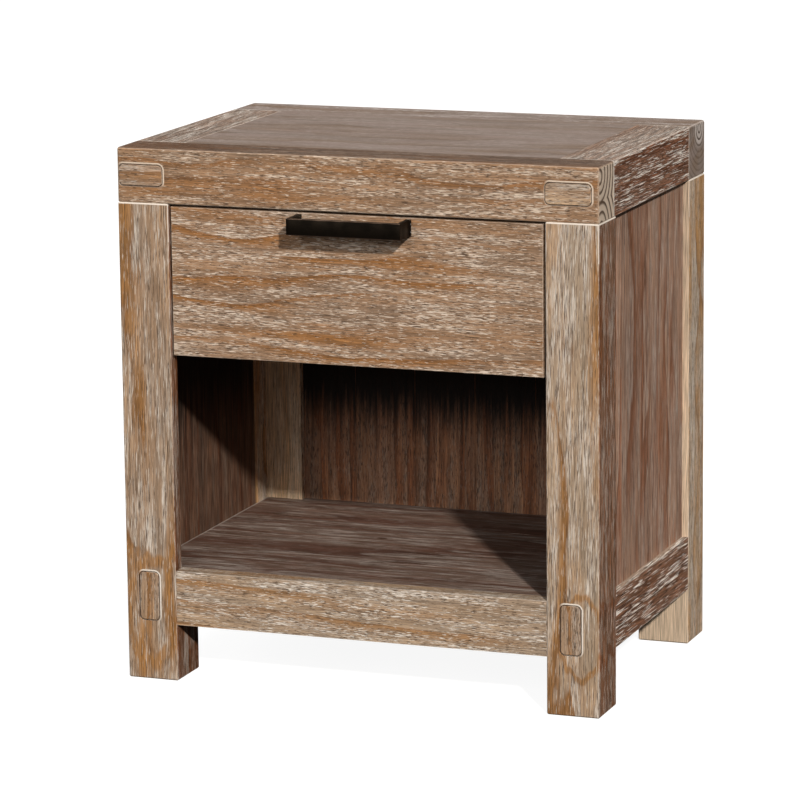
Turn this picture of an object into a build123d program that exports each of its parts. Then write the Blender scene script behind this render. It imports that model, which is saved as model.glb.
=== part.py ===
from build123d import *
import os

# A nightstand with one drawer above an open shelf, in millimetres. While it is built, x runs from the
# middle of the case to the right, y runs back from the front of the legs and z runs up from the floor.
# save_node then shifts every piece so that the origin is the middle of the base of the whole object.

# Overall sizes
case_width = 610
case_depth = 432
case_height = 660

# Thick top: a frame of four rails around a thinner field
top_thickness = 67
front_rail_depth = 56
rear_rail_depth = 68
side_rail_width = 66
top_field_thickness = 22
top_tongue_length = 8
top_tongue_thickness = 8
seam_bevel = 0.8  # V line where two boards meet on a face
shadow_bevel = 1.3  # larger V line between the top and the legs
top_edge_round = 3.2

# Legs: square feet that turn into an L section above the shelf
leg_size = 66
leg_wall = 17
leg_edge_round = 2
foot_bevel = 1.5

# Rails under the shelf
bottom_rail_low = 71
bottom_rail_height = 68
front_rail_thickness = 22
rail_setback = 0.5
tenon_thickness = 8
tenon_shoulder = 12  # from the edge of a rail to its tenon
mortise_spare = 1  # glue space beyond the end of a tenon
mortise_wall = 1.5  # wood left between a mortise and the pocket of a face plug

# Panels, held in rebates and grooves
side_panel_thickness = 8.5
side_panel_tongue = 8
back_panel_thickness = 5
back_panel_setback = 2
back_panel_lap = 9
back_plank_width = 83
shelf_thickness = 18
shelf_board_width = 98
board_groove = 1

# Face plugs that stand for the ends of through tenons
plug_depth = 10
plug_proud = 0.4
plug_corner = 5.5
plug_bevel = 0.9
plug_gap = 0.7  # open joint round the face of a plug
plug_gap_depth = 2.6
top_plug_width = 56
top_plug_height = 25
top_plug_edge_left = 2.5  # from the left end of the rail
top_plug_edge_right = 10  # from the right end of the rail
leg_plug_width = 25
leg_plug_height = 60
leg_plug_edge = 17.5  # from the left face of its leg
tenon_length = leg_plug_edge - mortise_wall - mortise_spare

# Dowels and screws
dowel_radius = 4
dowel_length = 50
dowel_spread = 30
leg_dowel_bite = 32
leg_dowel_x_share = 0.7  # how far in from the side of the leg, as a share of leg_size
leg_dowel_y_share = 0.55  # how far in from the front or rear of the leg
screw_radius = 2
screw_head_radius = 4
screw_head_height = 1.5
recess_radius = 5.5
back_screw_radius = 1
back_screw_head_radius = 3.2
back_screw_height_shares = (0.2, 0.5, 0.8)
back_screw_width_shares = (-0.6, 0, 0.6)
shelf_screw_shares = (0.25, 0.5, 0.75)
shelf_screw_depth_share = 2 / 3  # share of the shelf's thickness that a screw goes into

# Drawer
drawer_gap_top = 3
drawer_gap_side = 3
drawer_front_height = 182
drawer_front_thickness = 20
drawer_setback = 1
drawer_edge_round = 1
drawer_box_height = 136
drawer_box_rise = 18  # from the lower edge of the drawer front to the box
drawer_rear_gap = 50  # free space between the drawer box and the back panel
drawer_wall = 12
drawer_bottom_thickness = 5
drawer_bottom_rise = 10
drawer_groove_depth = 6
drawer_groove_spare = 0.5
front_screw_bite = 14
front_screw_width_shares = (-0.8, 0.8)
front_screw_height_shares = (0.3, 0.8)
dovetail_count = 4
dovetail_slope = 3.5  # how much wider a tail is at its end, on each side
dovetail_share = 0.58  # share of each pitch that the tail's root takes

# Telescopic slides, one on each side of the drawer
slide_thickness = 12.7
slide_height = 45
slide_wall = 1.2
slide_lip_gap = 2.5
middle_height = 38
middle_stand_off = 2.2
middle_depth = 7.6
inner_height = 27
inner_depth = 6.4
slide_start = 4  # from the back of the drawer front
slide_screw_shares = (0.08, 0.45, 0.82)
outer_screw_length = 16
inner_screw_length = 10

# Hidden wood that carries the slides and the shelf
runner_height = 76
runner_screw_length = 26
runner_screw_bite = 8
runner_screw_share = 0.35  # from the wall of the leg, as a share of leg_size
runner_screw_clearance = 1  # between the slide and the screw recess
cleat_width = 20
cleat_height = 20

# Pull: a flat bar bent into a U, on edge
pull_length = 144
pull_height = 20
pull_reach = 36
pull_bar = 5
pull_drop = 1.5  # from the upper edge of the drawer front
pull_edge = 0.6
pull_foot_length = 5
pull_foot_proud = 1
pull_screw_radius = 1.5
pull_screw_bite = 12

overcut = 1  # how far a cut runs past the face it opens

half_width = case_width / 2
top_low = case_height - top_thickness
bottom_rail_top = bottom_rail_low + bottom_rail_height
shelf_top = bottom_rail_top
shelf_low = shelf_top - shelf_thickness
narrowest_board = shelf_board_width / 3
side_panel_setback = leg_wall - side_panel_thickness
back_panel_back = case_depth - back_panel_setback
back_panel_front = back_panel_back - back_panel_thickness
drawer_top = top_low - drawer_gap_top
drawer_low = drawer_top - drawer_front_height
drawer_back_of_front = drawer_setback + drawer_front_thickness
opening_half = half_width - leg_size
box_low = drawer_low + drawer_box_rise
box_top = box_low + drawer_box_height
box_half = opening_half - slide_thickness
box_back = back_panel_front - drawer_rear_gap
slide_centre = (box_low + box_top) / 2
slide_front = drawer_back_of_front + slide_start
slide_length = box_back - slide_front
runner_screw_rise = slide_height / 2 + recess_radius + runner_screw_clearance
leg_dowel_rise = (top_thickness - top_plug_height) / 2 - mortise_wall
pull_proud = pull_reach - drawer_setback
middle_of_depth = (case_depth - pull_proud) / 2

left = -1
right = 1


def save_node(name, shape):
    moved = Pos(0, -middle_of_depth, 0) * shape
    export_step(moved, "parts/" + name + ".step")


def block(xs, ys, zs):
    size = (xs[1] - xs[0], ys[1] - ys[0], zs[1] - zs[0])
    return Pos(xs[0], ys[0], zs[0]) * Box(*size, align=(Align.MIN, Align.MIN, Align.MIN))


def in_from_side(side, near, far):
    # a stretch of x, given as two distances in from the outer face of the left or right side
    ends = (side * (half_width - near), side * (half_width - far))
    return (min(ends), max(ends))


def in_from_end(end, near, far):
    # a stretch of y, given as two distances in from the front or from the rear
    if end == "front":
        return (near, far)
    return (case_depth - far, case_depth - near)


def cylinder_along(axis, centre, radius, length):
    turn = {"x": Rot(0, 90, 0), "y": Rot(90, 0, 0), "z": Rot(0, 0, 0)}[axis]
    return Pos(*centre) * turn * Cylinder(radius, length)


def cut_all(shape, tools):
    for tool in tools:
        shape = shape - tool
    return shape


def group(solids):
    return Compound(solids)


def rounded_plate(width, height, corner, start, centre_x, centre_z, depth, taper=0):
    # a rounded rectangle standing in the xz plane, from y = start to y = start + depth
    plane = Plane(origin=(centre_x, start, centre_z), x_dir=(1, 0, 0), z_dir=(0, 1, 0))
    return extrude(plane * RectangleRounded(width, height, corner), amount=depth, taper=taper)


# Face plugs


def make_plug(width, height, centre_x, centre_z):
    plug = rounded_plate(
        width, height, plug_corner, -plug_proud, centre_x, centre_z, plug_depth + plug_proud
    )
    front_face = plug.faces().sort_by(Axis.Y)[0]
    return chamfer(front_face.edges(), plug_bevel)


def plug_pocket(width, height, centre_x, centre_z):
    hole = rounded_plate(width, height, plug_corner, 0, centre_x, centre_z, plug_depth)
    for rim, depth, taper in ((plug_gap, plug_gap_depth, 0), (plug_gap + plug_bevel, plug_bevel, 45)):
        hole = hole + rounded_plate(
            width + 2 * rim, height + 2 * rim, plug_corner + rim, 0, centre_x, centre_z, depth, taper
        )
    return hole


def top_plug_place(side):
    if side == left:
        centre_x = -half_width + top_plug_edge_left + top_plug_width / 2
    else:
        centre_x = half_width - top_plug_edge_right - top_plug_width / 2
    return (top_plug_width, top_plug_height, centre_x, (top_low + case_height) / 2)


def leg_plug_place(side):
    left_face = -half_width if side == left else half_width - leg_size
    centre_x = left_face + leg_plug_edge + leg_plug_width / 2
    return (leg_plug_width, leg_plug_height, centre_x, (bottom_rail_low + bottom_rail_top) / 2)


# Dowels


def make_frame_dowels():
    # two in each joint between a side rail and the front or rear rail
    dowels = []
    middle_z = (top_low + case_height) / 2
    for side in (left, right):
        centre_x = side * (half_width - side_rail_width / 2)
        for joint_y in (front_rail_depth, case_depth - rear_rail_depth):
            for rise in (-dowel_spread / 2, dowel_spread / 2):
                centre = (centre_x, joint_y, middle_z + rise)
                dowels.append(cylinder_along("y", centre, dowel_radius, dowel_length))
    return dowels


def make_leg_dowels():
    # two in the top of each leg, one in each wall of its L section
    dowels = []
    wall_middle = leg_wall / 2
    places = (
        (leg_size * leg_dowel_x_share, wall_middle),
        (wall_middle, leg_size * leg_dowel_y_share),
    )
    for side in (left, right):
        for end in ("front", "rear"):
            for x_in, y_in in places:
                centre_x = side * (half_width - x_in)
                centre_y = in_from_end(end, y_in, y_in)[0]
                length = leg_dowel_bite + leg_dowel_rise
                centre = (centre_x, centre_y, top_low + leg_dowel_rise - length / 2)
                dowels.append(cylinder_along("z", centre, dowel_radius, length))
    return dowels


# Panels


def make_side_panel(side):
    xs = in_from_side(side, side_panel_setback, leg_wall)
    ys = (leg_size - side_panel_tongue, case_depth - leg_size + side_panel_tongue)
    zs = (bottom_rail_top - side_panel_tongue, top_low + side_panel_tongue)
    return block(xs, ys, zs)


def back_panel_half():
    return opening_half + back_panel_lap


def back_panel_span():
    return (bottom_rail_top - back_panel_lap, top_low + back_panel_lap)


def make_back_panel():
    zs = back_panel_span()
    panel = block(
        (-back_panel_half(), back_panel_half()), (back_panel_front, back_panel_back), zs
    )
    plank_count = round(2 * back_panel_half() / back_plank_width)
    pitch = 2 * back_panel_half() / plank_count
    for i in range(1, plank_count):
        x = -back_panel_half() + i * pitch
        panel = panel - v_groove((x, back_panel_front, 0), "z", zs)
    return panel


def v_groove(point, along, span):
    # a square bar turned on its corner, which cuts a V as deep as board_groove / 2
    bar = board_groove / 2 ** 0.5
    middle = (span[0] + span[1]) / 2
    length = span[1] - span[0]
    if along == "z":
        return Pos(point[0], point[1], middle) * Rot(0, 0, 45) * Box(bar, bar, length)
    return Pos(middle, point[1], point[2]) * Rot(45, 0, 0) * Box(length, bar, bar)


def back_rebate():
    # the step that the back panel is laid into from behind
    return block(
        (-back_panel_half(), back_panel_half()),
        (back_panel_front, case_depth + overcut),
        back_panel_span(),
    )


def shelf_blank():
    zs = (shelf_low, shelf_top)
    inner = (-half_width + leg_wall, half_width - leg_wall)
    between_walls = block(inner, (leg_wall, case_depth - leg_wall), zs)
    return between_walls + block((-opening_half, opening_half), (leg_wall, back_panel_front), zs)


def make_shelf():
    xs = (-half_width + leg_wall, half_width - leg_wall)
    shelf = shelf_blank() - bottom_long_rail_blank("front")
    seam_y = front_rail_thickness + shelf_board_width
    while seam_y < case_depth - front_rail_thickness - narrowest_board:
        shelf = shelf - v_groove((0, seam_y, shelf_top), "x", xs)
        seam_y += shelf_board_width
    return shelf


# Rails under the shelf


def tenon_span():
    # the tenons keep below the shelf
    return (bottom_rail_low + tenon_shoulder, shelf_low - mortise_wall)


def bottom_long_rail_blank(end):
    ys = in_from_end(end, rail_setback, front_rail_thickness)
    return block((-opening_half, opening_half), ys, (bottom_rail_low, bottom_rail_top))


def make_bottom_long_rail(end, spare):
    rail = bottom_long_rail_blank(end)
    reach = opening_half + tenon_length + spare
    depth_in = (front_rail_thickness - tenon_thickness) / 2
    ys = in_from_end(end, depth_in, depth_in + tenon_thickness)
    rail = rail + block((-reach, reach), ys, tenon_span())
    if end == "rear":
        rail = cut_all(rail - back_rebate() - shelf_blank(), make_back_screws())
    return rail


def make_bottom_side_rail(side, spare):
    ys = (leg_size, case_depth - leg_size)
    zs = (bottom_rail_low, bottom_rail_top)
    rail = block(in_from_side(side, rail_setback, leg_wall), ys, zs)
    x_in = (leg_wall - tenon_thickness) / 2
    tenon_ys = (leg_size - tenon_length - spare, case_depth - leg_size + tenon_length + spare)
    return rail + block(in_from_side(side, x_in, x_in + tenon_thickness), tenon_ys, tenon_span())


# Legs


def make_leg(side, end):
    xs = in_from_side(side, 0, leg_size)
    ys = in_from_end(end, 0, leg_size)
    leg = block(xs, ys, (0, top_low))
    leg = fillet(leg.edges().filter_by(Axis.Z), leg_edge_round)
    leg = chamfer(leg.faces().sort_by(Axis.Z)[0].edges(), foot_bevel)
    leg = chamfer(leg.faces().sort_by(Axis.Z)[-1].edges(), shadow_bevel)
    leg = leg - block(
        in_from_side(side, leg_wall, leg_size + overcut),
        in_from_end(end, leg_wall, leg_size + overcut),
        (shelf_low, top_low + overcut),
    )
    leg = leg - make_bottom_long_rail(end, mortise_spare)
    leg = leg - make_bottom_side_rail(side, mortise_spare)
    leg = leg - make_side_panel(side)
    if end == "rear":
        leg = leg - back_rebate()
    else:
        leg = leg - plug_pocket(*leg_plug_place(side))
    return cut_all(leg, make_leg_dowels() + make_runner_screws())


# Top


def make_top_field():
    half = half_width - side_rail_width
    ys = (front_rail_depth, case_depth - rear_rail_depth)
    field = block((-half, half), ys, (case_height - top_field_thickness, case_height))
    side_edges = field.faces().sort_by(Axis.Z)[-1].edges().filter_by(Axis.Y)
    field = chamfer(side_edges, seam_bevel)
    tongue_low = case_height - (top_field_thickness + top_tongue_thickness) / 2
    tongue = block(
        (-half - top_tongue_length, half + top_tongue_length),
        (ys[0] - top_tongue_length, ys[1] + top_tongue_length),
        (tongue_low, tongue_low + top_tongue_thickness),
    )
    return field + tongue


def top_long_rail_ends(end):
    depth = front_rail_depth if end == "front" else rear_rail_depth
    return in_from_end(end, 0, depth)


def make_top_long_rail(end):
    ys = top_long_rail_ends(end)
    rail = block((-half_width, half_width), ys, (top_low, case_height))
    away = 1 if end == "front" else -1  # towards the inside of the top
    upright = rail.edges().filter_by(Axis.Z).sort_by(Axis.Y)[::away]
    upper = rail.edges().sort_by(Axis.Z)[-4:]
    upper_ends = upper.filter_by(Axis.Y)
    upper_long = upper.filter_by(Axis.X).sort_by(Axis.Y)[::away][0]
    rail = fillet([upper_long, *upper_ends, *upright[:2]], top_edge_round)
    rail = chamfer(rail.faces().sort_by(Axis.Z)[0].edges(), shadow_bevel)
    rail = rail - make_top_field()
    for side in (left, right):
        rail = rail - make_side_panel(side)
        if end == "front":
            rail = rail - plug_pocket(*top_plug_place(side))
    if end == "rear":
        rail = cut_all(rail - back_rebate(), make_back_screws())
    return cut_all(rail, make_frame_dowels() + make_leg_dowels())


def long_edge(rail, side, row, place):
    # an edge that runs front to back: row 0 is the lowest and -1 the highest, place 0 is the outermost
    # and -1 the innermost
    edges = rail.edges().filter_by(Axis.Y).group_by(Axis.Z)[row]
    return edges.sort_by(Axis.X)[::-side][place]


def make_top_side_rail(side):
    ys = (front_rail_depth, case_depth - rear_rail_depth)
    rail = block(in_from_side(side, 0, side_rail_width), ys, (top_low, case_height))
    outer_upright = rail.edges().filter_by(Axis.Z).sort_by(Axis.X)[::-side][:2]
    rail = chamfer(outer_upright, seam_bevel)
    rail = fillet(long_edge(rail, side, -1, 0), top_edge_round)
    rail = chamfer(long_edge(rail, side, -1, -1), seam_bevel)
    rail = chamfer(long_edge(rail, side, 0, 0), shadow_bevel)
    rail = rail - make_top_field() - make_side_panel(side)
    return cut_all(rail, make_frame_dowels())


# Hidden wood


def make_runner(side):
    # a block between the front and rear walls of the legs that the slide is screwed to
    zs = (slide_centre - runner_height / 2, slide_centre + runner_height / 2)
    runner = block(in_from_side(side, leg_wall, leg_size), (leg_wall, case_depth - leg_wall), zs)
    return cut_all(runner, runner_screw_holes() + make_slide_screws("outer"))


def runner_screw_places():
    from_end = leg_wall + leg_size * runner_screw_share
    places = []
    for side in (left, right):
        for y in (from_end, case_depth - from_end):
            places.append((side, y))
    return places


def make_runner_screws():
    screws = []
    for side, y in runner_screw_places():
        tip = half_width - leg_wall + runner_screw_bite
        shank_x = side * (tip - runner_screw_length / 2)
        head_x = side * (tip - runner_screw_length - screw_head_height / 2)
        z = slide_centre + runner_screw_rise
        shank = cylinder_along("x", (shank_x, y, z), screw_radius, runner_screw_length)
        head = cylinder_along("x", (head_x, y, z), screw_head_radius, screw_head_height)
        screws.append(shank + head)
    return screws


def runner_screw_holes():
    # a wide hole from the inner face of the runner down to each screw head
    holes = make_runner_screws()
    for side, y in runner_screw_places():
        head_x = half_width - leg_wall + runner_screw_bite - runner_screw_length
        length = head_x - opening_half + overcut
        centre_x = side * (head_x - length / 2)
        z = slide_centre + runner_screw_rise
        holes.append(cylinder_along("x", (centre_x, y, z), recess_radius, length))
    return holes


def make_cleat(side):
    xs = in_from_side(side, leg_wall, leg_wall + cleat_width)
    ys = (leg_size, case_depth - leg_size)
    cleat = block(xs, ys, (shelf_low - cleat_height, shelf_low))
    return cut_all(cleat, make_shelf_screws())


def make_shelf_screws():
    # driven up through the cleats into the shelf
    screws = []
    head_z = shelf_low - cleat_height
    tip_z = shelf_low + shelf_thickness * shelf_screw_depth_share
    for side in (left, right):
        x = side * (half_width - leg_wall - cleat_width / 2)
        for share in shelf_screw_shares:
            y = case_depth * share
            shank = cylinder_along("z", (x, y, (head_z + tip_z) / 2), screw_radius, tip_z - head_z)
            head_centre = (x, y, head_z + screw_head_height / 2)
            head = cylinder_along("z", head_centre, screw_head_radius, screw_head_height)
            screws.append(shank + head)
    return screws


def make_back_screws():
    # small screws round the edge of the back panel, heads on its rear face
    screws = []
    bite = (case_depth - back_panel_back) + back_panel_thickness
    head_height = back_panel_setback / 2
    zs = back_panel_span()
    edge = back_panel_lap / 2
    places = []
    for side in (left, right):
        for share in back_screw_height_shares:
            places.append((side * (back_panel_half() - edge), zs[0] + share * (zs[1] - zs[0])))
    for z in (zs[0] + edge, zs[1] - edge):
        for share in back_screw_width_shares:
            places.append((share * back_panel_half(), z))
    for x, z in places:
        shank_length = back_panel_thickness + bite
        shank_y = back_panel_back - shank_length / 2
        shank = cylinder_along("y", (x, shank_y, z), back_screw_radius, shank_length)
        head_y = back_panel_back + head_height / 2
        head = cylinder_along("y", (x, head_y, z), back_screw_head_radius, head_height)
        screws.append(shank + head)
    return screws


# Slides


def slide_x(side, near, far):
    # a stretch of x, given as two distances in from the inner face of the leg
    return in_from_side(side, leg_size + near, leg_size + far)


def make_channel(side, web, lip_end, height, ys):
    # a C section: a web between two distances from the leg, and lips that reach to lip_end
    low = slide_centre - height / 2
    high = slide_centre + height / 2
    channel = block(slide_x(side, *web), ys, (low, high))
    lips = (min(web[0], lip_end), max(web[1], lip_end))
    channel = channel + block(slide_x(side, *lips), ys, (low, low + slide_wall))
    return channel + block(slide_x(side, *lips), ys, (high - slide_wall, high))


def slide_ys():
    return (slide_front, slide_front + slide_length)


def make_slide_outer(side):
    web = (0, slide_wall)
    channel = make_channel(side, web, slide_thickness - slide_lip_gap, slide_height, slide_ys())
    return cut_all(channel, make_slide_screws("outer"))


def make_slide_middle(side):
    web = (middle_stand_off + slide_wall, middle_stand_off + 2 * slide_wall)
    return make_channel(side, web, web[0] + middle_depth, middle_height, slide_ys())


def make_slide_inner(side):
    web = (slide_thickness - slide_wall, slide_thickness)
    channel = make_channel(side, web, slide_thickness - inner_depth, inner_height, slide_ys())
    return cut_all(channel, make_slide_screws("inner"))


def make_slide_screws(member):
    screws = []
    shank_length = inner_screw_length if member == "inner" else outer_screw_length
    for side in (left, right):
        for share in slide_screw_shares:
            y = slide_front + share * slide_length
            if member == "outer":
                head = slide_x(side, slide_wall, slide_wall + screw_head_height)
                shank = slide_x(side, -shank_length, slide_wall)
            else:
                web = slide_thickness - slide_wall
                head = slide_x(side, web - screw_head_height, web)
                shank = slide_x(side, web, web + shank_length)
            parts = []
            for stretch, radius in ((head, screw_head_radius), (shank, screw_radius)):
                centre = ((stretch[0] + stretch[1]) / 2, y, slide_centre)
                parts.append(cylinder_along("x", centre, radius, stretch[1] - stretch[0]))
            screws.append(parts[0] + parts[1])
    return screws


# Drawer


def make_drawer_front():
    half = opening_half - drawer_gap_side
    front = block((-half, half), (drawer_setback, drawer_back_of_front), (drawer_low, drawer_top))
    outer = front.faces().sort_by(Axis.Y)[0]
    front = fillet(outer.edges(), drawer_edge_round)
    return cut_all(front, make_pull_screws() + make_front_screws())


def dovetails(side, end):
    # the tails at one end of a drawer side, as one solid for each
    pitch = drawer_box_height / dovetail_count
    root = pitch * dovetail_share / 2
    tip = root + dovetail_slope
    if end == "front":
        tip_y = drawer_back_of_front
        root_y = drawer_back_of_front + drawer_wall
    else:
        tip_y = box_back
        root_y = box_back - drawer_wall
    xs = slide_x(side, slide_thickness, slide_thickness + drawer_wall)
    tails = []
    for i in range(dovetail_count):
        z = box_low + (i + 0.5) * pitch
        outline = [(tip_y, z - tip), (tip_y, z + tip), (root_y, z + root), (root_y, z - root)]
        plane = Plane(origin=(xs[0], 0, 0), x_dir=(0, 1, 0), z_dir=(1, 0, 0))
        face = make_face(Polyline(*outline, close=True))
        tails.append(extrude(plane * face, amount=xs[1] - xs[0]))
    return tails


def bottom_slot(spare):
    # the space of the drawer bottom and of the grooves that hold it
    reach = drawer_groove_depth - spare
    low = box_low + drawer_bottom_rise
    return block(
        (-(box_half - drawer_wall) - reach, (box_half - drawer_wall) + reach),
        (drawer_back_of_front + drawer_wall - reach, box_back - drawer_wall + reach),
        (low, low + drawer_bottom_thickness),
    )


def make_drawer_side(side):
    xs = slide_x(side, slide_thickness, slide_thickness + drawer_wall)
    ys = (drawer_back_of_front + drawer_wall, box_back - drawer_wall)
    board = block(xs, ys, (box_low, box_top))
    for end in ("front", "rear"):
        for tail in dovetails(side, end):
            board = board + tail
    board = board - bottom_slot(0)
    return cut_all(board, make_slide_screws("inner"))


def make_drawer_cross(end):
    # the front or back board of the drawer box
    if end == "front":
        ys = (drawer_back_of_front, drawer_back_of_front + drawer_wall)
    else:
        ys = (box_back - drawer_wall, box_back)
    board = block((-box_half, box_half), ys, (box_low, box_top))
    for side in (left, right):
        board = cut_all(board, dovetails(side, end))
    board = board - bottom_slot(0)
    if end == "front":
        board = cut_all(board, make_front_screws())
    return board


def make_front_screws():
    # driven from inside the box into the drawer front
    screws = []
    head_back = drawer_back_of_front + drawer_wall
    tip = drawer_back_of_front - front_screw_bite
    for x_share in front_screw_width_shares:
        for z_share in front_screw_height_shares:
            x = x_share * box_half
            z = box_low + z_share * drawer_box_height
            shank = cylinder_along("y", (x, (tip + head_back) / 2, z), screw_radius, head_back - tip)
            head_y = head_back - screw_head_height / 2
            head = cylinder_along("y", (x, head_y, z), screw_head_radius, screw_head_height)
            screws.append(shank + head)
    return screws


# Pull


def pull_centre_z():
    return drawer_top - pull_drop - pull_height / 2


def make_pull():
    half = pull_length / 2
    low = pull_centre_z() - pull_height / 2
    high = low + pull_height
    front_y = drawer_setback - pull_reach
    bar = block((-half, half), (front_y, drawer_setback), (low, high))
    bar = chamfer(bar.edges().filter_by(Axis.Z).sort_by(Axis.Y)[:2], pull_edge)
    inside = block(
        (-half + pull_bar, half - pull_bar),
        (front_y + pull_bar, drawer_setback + overcut),
        (low - overcut, high + overcut),
    )
    bar = bar - inside
    for side in (left, right):
        outer = side * (half + pull_foot_proud)
        inner = side * (half - pull_bar - pull_foot_proud)
        xs = (min(outer, inner), max(outer, inner))
        bar = bar + block(xs, (drawer_setback - pull_foot_length, drawer_setback), (low, high))
    return cut_all(bar, make_pull_screws())


def make_pull_screws():
    # from the back of the drawer front into the ends of the U
    screws = []
    tip = drawer_setback - pull_screw_bite
    for side in (left, right):
        x = side * (pull_length - pull_bar) / 2
        z = pull_centre_z()
        length = drawer_back_of_front - tip
        shank = cylinder_along("y", (x, tip + length / 2, z), pull_screw_radius, length)
        head_y = drawer_back_of_front + screw_head_height / 2
        head = cylinder_along("y", (x, head_y, z), screw_head_radius, screw_head_height)
        screws.append(shank + head)
    return screws


def side_name(side):
    return "left" if side == left else "right"


os.makedirs("parts", exist_ok=True)

save_node("top_front_rail", make_top_long_rail("front"))
save_node("top_rear_rail", make_top_long_rail("rear"))
save_node("top_field", make_top_field())
save_node("bottom_front_rail", make_bottom_long_rail("front", 0))
save_node("bottom_rear_rail", make_bottom_long_rail("rear", 0))
save_node("shelf", cut_all(make_shelf(), make_shelf_screws() + make_back_screws()))
save_node("back_panel", cut_all(make_back_panel(), make_back_screws()))
for side in (left, right):
    name = side_name(side)
    save_node("top_rail_" + name, make_top_side_rail(side))
    save_node("leg_front_" + name, make_leg(side, "front"))
    save_node("leg_rear_" + name, cut_all(make_leg(side, "rear"), make_back_screws()))
    save_node("plug_top_" + name, make_plug(*top_plug_place(side)))
    save_node("plug_leg_" + name, make_plug(*leg_plug_place(side)))
    save_node("bottom_rail_" + name, make_bottom_side_rail(side, 0) - make_side_panel(side))
    save_node("side_panel_" + name, make_side_panel(side))
    save_node("slide_runner_" + name, make_runner(side))
    save_node("shelf_cleat_" + name, make_cleat(side))
    save_node("slide_outer_" + name, make_slide_outer(side))
    save_node("slide_middle_" + name, make_slide_middle(side))
    save_node("slide_inner_" + name, make_slide_inner(side))
    save_node("drawer_side_" + name, make_drawer_side(side))
save_node("frame_dowels", group(make_frame_dowels()))
save_node("leg_dowels", group(make_leg_dowels()))
save_node("runner_screws", group(make_runner_screws()))
save_node("shelf_screws", group(make_shelf_screws()))
save_node("back_screws", group(make_back_screws()))
save_node("slide_outer_screws", group(make_slide_screws("outer")))
save_node("slide_inner_screws", group(make_slide_screws("inner")))
save_node("drawer_front", make_drawer_front())
save_node("drawer_box_front", make_drawer_cross("front"))
save_node("drawer_box_back", make_drawer_cross("rear"))
save_node("drawer_bottom", bottom_slot(drawer_groove_spare))
save_node("drawer_front_screws", group(make_front_screws()))
save_node("pull", make_pull())
save_node("pull_screws", group(make_pull_screws()))
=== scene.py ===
import math
from functools import partial
import bpy
from mathutils import Euler, Matrix, Vector


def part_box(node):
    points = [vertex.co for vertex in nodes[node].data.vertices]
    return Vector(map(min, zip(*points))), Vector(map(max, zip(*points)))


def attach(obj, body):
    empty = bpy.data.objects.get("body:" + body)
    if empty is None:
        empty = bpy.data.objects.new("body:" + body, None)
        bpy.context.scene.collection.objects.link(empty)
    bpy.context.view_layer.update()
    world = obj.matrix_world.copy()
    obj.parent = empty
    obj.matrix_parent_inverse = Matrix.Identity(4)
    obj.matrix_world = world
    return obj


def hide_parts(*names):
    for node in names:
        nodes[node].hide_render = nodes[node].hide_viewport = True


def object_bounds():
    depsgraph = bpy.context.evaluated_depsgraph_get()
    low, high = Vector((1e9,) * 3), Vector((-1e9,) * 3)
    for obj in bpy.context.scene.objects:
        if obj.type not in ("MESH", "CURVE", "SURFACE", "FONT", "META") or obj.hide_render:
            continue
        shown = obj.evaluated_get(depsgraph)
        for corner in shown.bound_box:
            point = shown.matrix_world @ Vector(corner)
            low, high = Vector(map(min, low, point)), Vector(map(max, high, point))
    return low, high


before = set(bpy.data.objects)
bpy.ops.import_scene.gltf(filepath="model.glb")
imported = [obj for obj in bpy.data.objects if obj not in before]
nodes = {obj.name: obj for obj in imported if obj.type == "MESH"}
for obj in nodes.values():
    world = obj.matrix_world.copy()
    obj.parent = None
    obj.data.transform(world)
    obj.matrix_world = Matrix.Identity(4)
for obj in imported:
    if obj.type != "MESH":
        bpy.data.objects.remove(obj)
cadLow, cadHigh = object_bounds()
mm = 0.001
bpy.context.scene.view_settings.view_transform = "Standard"


def linear(hexColour):
    # sRGB hex, as a colour picker shows it, to the linear colour a shader works with
    values = [int(hexColour[i:i + 2], 16) / 255 for i in (1, 3, 5)]
    return [v / 12.92 if v <= 0.04045 else ((v + 0.055) / 1.055) ** 2.4 for v in values] + [1.0]


def addNode(tree, kind, settings=None, links=None):
    # one shader node: settings are its attributes or inputs, links feed its inputs from nodes or sockets
    node = tree.nodes.new("ShaderNode" + kind)
    for key, value in (settings or {}).items():
        if isinstance(key, str) and hasattr(node, key):
            setattr(node, key, value)
        else:
            node.inputs[key].default_value = linear(value) if isinstance(value, str) else value
    for key, source in (links or {}).items():
        if isinstance(source, bpy.types.Node):
            source = next(socket for socket in source.outputs if socket.enabled)
        tree.links.new(source, node.inputs[key])
    return node


def setStops(ramp, stops):
    # the stops of a colour ramp, as position and grey value
    elements = ramp.color_ramp.elements
    while len(elements) < len(stops):
        elements.new(0.5)
    for element, (position, value) in zip(elements, stops):
        element.position = position
        element.color = (value, value, value, 1)
    return ramp


def newMaterial(name):
    material = bpy.data.materials.new(name)
    material.use_nodes = True
    material.node_tree.nodes.clear()
    return material, partial(addNode, material.node_tree)


def useMaterial(item, material):
    item.data.materials.clear()
    item.data.materials.append(material)


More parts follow.
